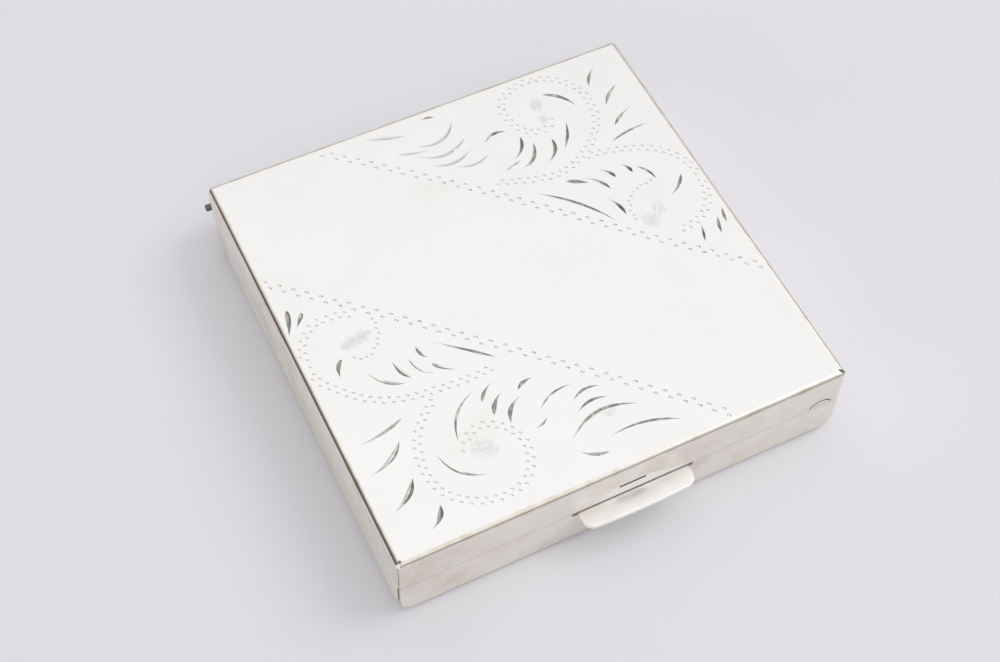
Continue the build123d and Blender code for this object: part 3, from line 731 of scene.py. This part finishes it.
def engraved_lid():
    """The lid with its flat top taken off and put back as one engraved face."""
    work = bmesh.new()
    work.from_mesh(nodes["lid_shell"].data)
    bmesh.ops.remove_doubles(work, verts=work.verts, dist=0.0005 * MM)
    level = TOP - 0.01 * MM
    tops = [f for f in work.faces if f.normal.z > 0.999 and f.calc_center_median().z > level]
    bmesh.ops.delete(work, geom=tops, context="FACES")
    for face in work.faces:
        face.material_index = lid_finish(face)
    rim = [e for e in work.edges if e.is_boundary and min(v.co.z for v in e.verts) > level]
    rim_verts = sorted({v for e in rim for v in e.verts}, key=lambda v: v.index)
    rim_ids = {v: i for i, v in enumerate(rim_verts)}
    marks = engrave()
    shift = len(rim_verts)
    points = [Vector((v.co.x / MM, v.co.y / MM)) for v in rim_verts] + marks.points
    edges = [(rim_ids[e.verts[0]], rim_ids[e.verts[1]]) for e in rim]
    edges += [(a + shift, b + shift) for a, b in marks.edges]
    depths = [0.0] * shift + marks.depths
    kinds = [FLAT] * shift + marks.kinds
    flat, _, triangles, origins, _, _ = delaunay_2d_cdt(points, edges, [], 1, 1e-5)
    made, made_kinds = [], []
    for place, origin in zip(flat, origins):
        on_rim = [i for i in origin if i < shift]
        depth = max((depths[i] for i in origin), default=0.0)
        made_kinds.append(max((kinds[i] for i in origin), default=FLAT))
        if on_rim:
            made.append(rim_verts[on_rim[0]])
        else:
            made.append(work.verts.new((place.x * MM, place.y * MM, TOP - depth * MM)))
    for triangle in triangles:
        corners = [made[i] for i in triangle]
        if len(set(corners)) == 3:
            face = work.faces.new(corners)
            face.material_index = mark_finish({made_kinds[i] for i in triangle})
    bmesh.ops.recalc_face_normals(work, faces=list(work.faces))
    lid = add_piece("engraved_lid", work, "lid", ["lid_shell"])
    for finish in (silver, satin, gold, bright_cut, dark_cut, matted, burnished, edge_finish_and_painted_reflection):
        lid.data.materials.append(finish)
    return lid


# ---- powder, sifter and puff ------------------------------------------------------------------
def add_piece(name, work, body, replaced, material=None):
    """Turns a bmesh into a piece that rides on a body and stands for CAD nodes."""
    mesh = bpy.data.meshes.new(name)
    work.to_mesh(mesh)
    work.free()
    piece = bpy.data.objects.new(name, mesh)
    bpy.context.scene.collection.objects.link(piece)
    if material:
        mesh.materials.append(material)
    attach(piece, body)
    if replaced:
        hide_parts(*replaced)
    return piece


def smooth_faces(work):
    for face in work.faces:
        face.smooth = True


def rounded_outline(half_x, half_y, radius, per_corner):
    """Points anticlockwise round a rectangle with rounded corners, centred on the origin."""
    outline = []
    for index, (sx, sy) in enumerate(((1, 1), (-1, 1), (-1, -1), (1, -1))):
        centre = Vector((sx * (half_x - radius), sy * (half_y - radius)))
        for step in range(per_corner + 1):
            angle = math.pi / 2 * (index + step / per_corner)
            outline.append(centre + Vector((math.cos(angle), math.sin(angle))) * radius)
    return outline


def evenly(outline, count):
    """Count points spread evenly round a closed outline."""
    closed = [*outline, outline[0]]
    total = sum((b - a).length for a, b in zip(closed, closed[1:]))
    points, walked, wanted = [], 0.0, 0.0
    for a, b in zip(closed, closed[1:]):
        length = (b - a).length
        while wanted < walked + length - 1e-9 and len(points) < count:
            points.append(a.lerp(b, (wanted - walked) / length))
            wanted += total / count
        walked += length
    return points


def rings(work, centre, levels, count, outline):
    """Skins closed loops of one outline, each (share of its size, height), shut at both ends."""
    loops = []
    for share, height in levels:
        loop = []
        for p in evenly(outline, count):
            loop.append(work.verts.new((centre[0] + p.x * share, centre[1] + p.y * share, height)))
        loops.append(loop)
    for low, high in zip(loops, loops[1:]):
        for i in range(count):
            j = (i + 1) % count
            work.faces.new((low[i], low[j], high[j], high[i]))
    for loop, height in ((loops[0], levels[0][1]), (loops[-1], levels[-1][1])):
        hub = work.verts.new((centre[0], centre[1], height))
        for i in range(count):
            work.faces.new((loop[i], loop[(i + 1) % count], hub))
    bmesh.ops.recalc_face_normals(work, faces=list(work.faces))


def powder_bed():
    """Loose powder in the pan: level from sifting, with soft drifts and a slight crust at its edge."""
    low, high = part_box("powder_cake")
    half = (high.x - low.x) / 2
    outline = rounded_outline(half, half, 1.9 * MM, 8)
    ring_count = 44
    levels = [(0.3, low.z), (1.0, low.z), (1.0, high.z - 0.5 * MM)]
    levels += [(1 - i / ring_count, high.z - 0.35 * MM) for i in range(ring_count)]
    work = bmesh.new()
    rings(work, (0, 0), levels, 240, outline)
    for vert in work.verts:
        if vert.co.z > high.z - 0.45 * MM:
            drift = noise.fractal(vert.co / (9 * MM), 0.8, 2.1, 4)
            vert.co.z += (0.16 * drift + 0.03 * noise.noise(vert.co / (0.7 * MM))) * MM
            vert.co.z = min(vert.co.z, high.z)
    smooth_faces(work)
    add_piece("powder_bed", work, "base", ["powder_cake"], face_powder())


def wire_mesh():
    """Plain-woven sieve cloth in the sifter's ring, wire by wire."""
    low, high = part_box("sifter_mesh")
    pitch, wire_r, sides = 1.0 * MM, 0.05 * MM, 5
    half = (high.x - low.x) / 2
    middle = low.z + 0.1 * MM
    count = round(2 * half / pitch)
    steps = count * 4
    work = bmesh.new()
    for axis in (0, 1):
        for row in range(count):
            beside = -half + (row + 0.5) * pitch
            loops = []
            for step in range(steps + 1):
                along = -half + 2 * half * step / steps
                phase = math.pi * (along + half) / pitch + math.pi * (row + axis)
                rise = wire_r * math.sin(phase)
                loop = []
                for side in range(sides):
                    angle = math.tau * side / sides
                    across = beside + wire_r * math.cos(angle)
                    height = middle + rise + wire_r * math.sin(angle)
                    place = (along, across, height) if axis == 0 else (across, along, height)
                    loop.append(work.verts.new(place))
                loops.append(loop)
            for a, b in zip(loops, loops[1:]):
                for i in range(sides):
                    j = (i + 1) % sides
                    work.faces.new((a[i], a[j], b[j], b[i]))
            work.faces.new(loops[0])
            work.faces.new(loops[-1])
    bmesh.ops.recalc_face_normals(work, faces=list(work.faces))
    smooth_faces(work)
    add_piece("sifter_wires", work, "base", ["sifter_mesh"], brass_wire())


PUFF_SCALE = 10           # the puff is inflated at this many times its size
PUFF_CORNER = 7.0 * MM
PUFF_VOXEL = 1.0 * MM
PUFF_FRAMES = 12
PUFF_PRESSURE = 4
SIDE_GIVE = 0.15          # share of the solver's sideways pull that the sewn edge lets through
CROWN = 1.25              # how far the filled puff would rise if the door didn't press it flat


def puff_shape(box, corner):
    """The unfilled puff, enlarged: two layers of velour closed round the edge."""
    low, high = box
    centre = (low + high) / 2
    half_x, half_y = (high.x - low.x) / 2 - 1.0 * MM, (high.y - low.y) / 2 - 1.0 * MM
    thick = (high.z - low.z) * 0.34
    outline = rounded_outline(half_x, half_y, corner, 10)
    levels = [(0.5, -thick), (0.96, -thick), (1.0, -thick / 2), (1.0, thick / 2), (0.96, thick),
              (0.5, thick)]
    work = bmesh.new()
    rings(work, (0, 0), levels, 96, outline)
    bmesh.ops.scale(work, vec=Vector((PUFF_SCALE,) * 3), verts=work.verts)
    return work, centre


def apply_modifiers(piece):
    graph = bpy.context.evaluated_depsgraph_get()
    mesh = bpy.data.meshes.new_from_object(piece.evaluated_get(graph))
    piece.modifiers.clear()
    piece.data = mesh


def inflate(piece, voxel, frames):
    """Fills a closed pad with Blender's cloth solver and keeps the result."""
    remesh = piece.modifiers.new("remesh", "REMESH")
    remesh.mode = "VOXEL"
    remesh.voxel_size = voxel
    apply_modifiers(piece)
    sewn = [vert.co.copy() for vert in piece.data.vertices]
    cloth = piece.modifiers.new("cloth", "CLOTH")
    cloth.settings.quality = 4
    cloth.settings.use_pressure = True
    cloth.settings.uniform_pressure_force = PUFF_PRESSURE
    cloth.settings.effector_weights.gravity = 0
    cloth.settings.tension_stiffness = 12
    cloth.settings.compression_stiffness = 12
    cloth.settings.bending_stiffness = 1.5
    scene = bpy.context.scene
    for frame_number in range(1, frames + 1):
        scene.frame_set(frame_number)
    apply_modifiers(piece)
    scene.frame_set(1)
    for vert, start in zip(piece.data.vertices, sewn):
        vert.co.x = start.x + (vert.co.x - start.x) * SIDE_GIVE
        vert.co.y = start.y + (vert.co.y - start.y) * SIDE_GIVE
    smoothing = piece.modifiers.new("smoothing", "SMOOTH")
    smoothing.iterations = 6
    apply_modifiers(piece)


def velour_puff():
    """The puff: a thin velour pad, crowned but pressed flat where it lies on the door."""
    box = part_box("puff_pad")
    work, centre = puff_shape(box, PUFF_CORNER)
    mesh = bpy.data.meshes.new("velour_puff")
    work.to_mesh(mesh)
    work.free()
    puff = bpy.data.objects.new("velour_puff", mesh)
    bpy.context.scene.collection.objects.link(puff)
    inflate(puff, PUFF_VOXEL * PUFF_SCALE, PUFF_FRAMES)
    puff.modifiers.new("rounding", "SUBSURF").levels = 1
    apply_modifiers(puff)
    half_height = (box[1].z - box[0].z) / 2
    tallest = max(abs(v.co.z) for v in puff.data.vertices) / PUFF_SCALE
    widest = max(abs(v.co.x) for v in puff.data.vertices) / PUFF_SCALE
    room = (box[1].x - box[0].x) / 2 - 0.15 * MM
    for vert in puff.data.vertices:
        co = vert.co / PUFF_SCALE
        co.x *= room / widest
        co.y *= room / widest
        pressed = co.z / tallest * half_height * CROWN
        limit = half_height - 0.08 * MM
        pressed = limit * math.tanh(pressed / limit * 1.15) / math.tanh(1.4)
        co.z = max(-limit, min(limit, pressed))
        nap = noise.noise(co / (0.35 * MM)) * 0.05 + noise.noise(co / (1.4 * MM)) * 0.04
        outward = vert.normal
        co += Vector((outward.x, outward.y, outward.z * 0.8)) * nap * MM
        vert.co = co + centre
    for polygon in puff.data.polygons:
        polygon.use_smooth = True
    puff.data.materials.clear()
    puff.data.materials.append(velour())
    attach(puff, "puff")
    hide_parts("puff_pad")
    return puff


def puff_back():
    """The cloth back of the puff, turned under and stitched round its edge."""
    low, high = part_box("puff_backing")
    centre = (low + high) / 2
    half = (high.x - low.x) / 2
    outline = rounded_outline(half - 0.3 * MM, half - 0.3 * MM, PUFF_CORNER, 12)
    thick = (high.z - low.z) / 2
    middle = centre.z
    levels = [(0.4, middle - thick * 0.4), (0.95, middle - thick * 0.4), (0.985, middle - thick),
              (1.0, middle), (0.985, middle + thick), (0.96, middle + thick * 0.35)]
    levels += [(0.96 - 0.032 * i, middle + thick * 0.35) for i in range(1, 30)]
    work = bmesh.new()
    rings(work, (centre.x, centre.y), levels, 220, outline)
    for vert in work.verts:
        if vert.co.z > middle:
            ripple = noise.noise(Vector((vert.co.x, vert.co.y, 0)) / (5 * MM))
            vert.co.z += 0.03 * MM * ripple
    smooth_faces(work)
    cloth = woven("puff_cloth", (0.92, 0.78, 0.66), (0.76, 0.6, 0.48), 0.22 * MM, 0.85, 0.3)
    back = add_piece("puff_back", work, "puff", ["puff_backing"], cloth)
    stitches(outline, centre, high.z)


STITCH_COUNT = 110
STITCH_LENGTH = 0.95 * MM
THREAD_RADIUS = 0.06 * MM
STITCH_INSET = 0.93       # share of the outline's size at which the row runs


def stitches(outline, centre, height):
    """A row of single stitches just inside the turned edge."""
    work = bmesh.new()
    spots = evenly(outline, STITCH_COUNT)
    for here, after in zip(spots, spots[1:] + spots[:1]):
        along = (after - here).normalized()
        across = Vector((-along.y, along.x))
        spot = here * STITCH_INSET
        loops = []
        for step in range(5):
            t = step / 4
            reach = (t - 0.5) * STITCH_LENGTH
            rise = 0.07 * MM * math.sin(math.pi * t) - 0.03 * MM
            loop = []
            for side in range(5):
                angle = math.tau * side / 5
                off = across * THREAD_RADIUS * math.cos(angle)
                x, y = spot + along * reach + off
                z = height - 0.02 * MM + rise + THREAD_RADIUS * math.sin(angle)
                loop.append(work.verts.new((centre.x + x, centre.y + y, z)))
            loops.append(loop)
        for a, b in zip(loops, loops[1:]):
            for i in range(5):
                j = (i + 1) % 5
                work.faces.new((a[i], a[j], b[j], b[i]))
        work.faces.new(loops[0])
        work.faces.new(loops[-1])
    bmesh.ops.recalc_face_normals(work, faces=list(work.faces))
    smooth_faces(work)
    thread = woven("puff_thread", (0.93, 0.79, 0.67), (0.8, 0.64, 0.52), 0.08 * MM, 0.7, 0.3)
    add_piece("puff_stitches", work, "puff", [], thread)


RIBBON_WIDTH = 10 * MM
RIBBON_THICKNESS = 0.1 * MM


def satin_ribbon():
    """The satin finger loop across the puff's back, sewn down at both ends."""
    low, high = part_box("puff_ribbon")
    centre = (low + high) / 2
    lengthwise = high.x - low.x > high.y - low.y
    length = max(high.x - low.x, high.y - low.y)
    base = low.z + 0.04 * MM
    steps, cross = 150, 24
    work = bmesh.new()
    layers = []
    for lift in (0.0, RIBBON_THICKNESS):
        rows = []
        for i in range(steps + 1):
            along = (i / steps - 0.5) * length
            ends = min(1.0, (length / 2 - abs(along)) / (6 * MM))
            row = []
            for j in range(cross + 1):
                across = (j / cross - 0.5) * (RIBBON_WIDTH - 0.1 * MM)
                wave = noise.noise(Vector((along / (7 * MM), across / (9 * MM), 0.3)))
                z = base + lift + (0.1 + 0.09 * wave) * MM * ends
                x, y = (along, across) if lengthwise else (across, along)
                row.append(work.verts.new((centre.x + x, centre.y + y, z)))
            rows.append(row)
        layers.append(rows)
    for rows in layers:
        for a, b in zip(rows, rows[1:]):
            for i in range(cross):
                work.faces.new((a[i], a[i + 1], b[i + 1], b[i]))
    lower, upper = layers
    for i in range(steps):
        for edge in (0, cross):
            work.faces.new((lower[i][edge], lower[i + 1][edge], upper[i + 1][edge], upper[i][edge]))
    for j in range(cross):
        for end in (0, steps):
            work.faces.new((lower[end][j], lower[end][j + 1], upper[end][j + 1], upper[end][j]))
    bmesh.ops.recalc_face_normals(work, faces=list(work.faces))
    smooth_faces(work)
    shine = woven("satin_ribbon", (0.98, 0.82, 0.71), (0.95, 0.75, 0.63), 0.16 * MM, 0.38, 0.4, 0.4)
    ribbon = add_piece("satin_ribbon", work, "puff", ["puff_ribbon"], shine)


# ---- build ------------------------------------------------------------------------------------
silver = polished_silver()
satin = satin_silver()
bright_cut = cut_silver()
dark_cut = tarnish_and_painted_dark_cut()
matted = matted_silver()
burnished = burnished_silver()
edge_finish_and_painted_reflection = edge_silver()
gold = gilt()
steel = spring_steel()
FINISHES = {
    "silver": satin, "inner_metal": gold, "steel": steel, "mirror": mirror_silvering(),
    "card": backing_card(),
}

add_camera()
add_world()
add_softbox("key", 100, 53, 1.4, 0.7, 3.2)
add_softbox("left_fill", -105, 12, 1.2, 0.9, 1.9)
add_floor()

for part in frame["record"]["subparts"]:
    finish = FINISHES.get(part["material_slot"])
    if finish:
        materials = nodes[part["node"]].data.materials
        materials.clear()
        materials.append(finish)
nodes["thumb_lip"].data.materials[0] = burnished
nodes["hinge_pin"].data.materials[0] = aged_steel()
nodes["catch_blade"].data.materials[0] = aged_brass()

engraved_lid()
powder_bed()
wire_mesh()
velour_puff()
puff_back()
satin_ribbon()

bpy.context.scene.view_settings.view_transform = "Standard"
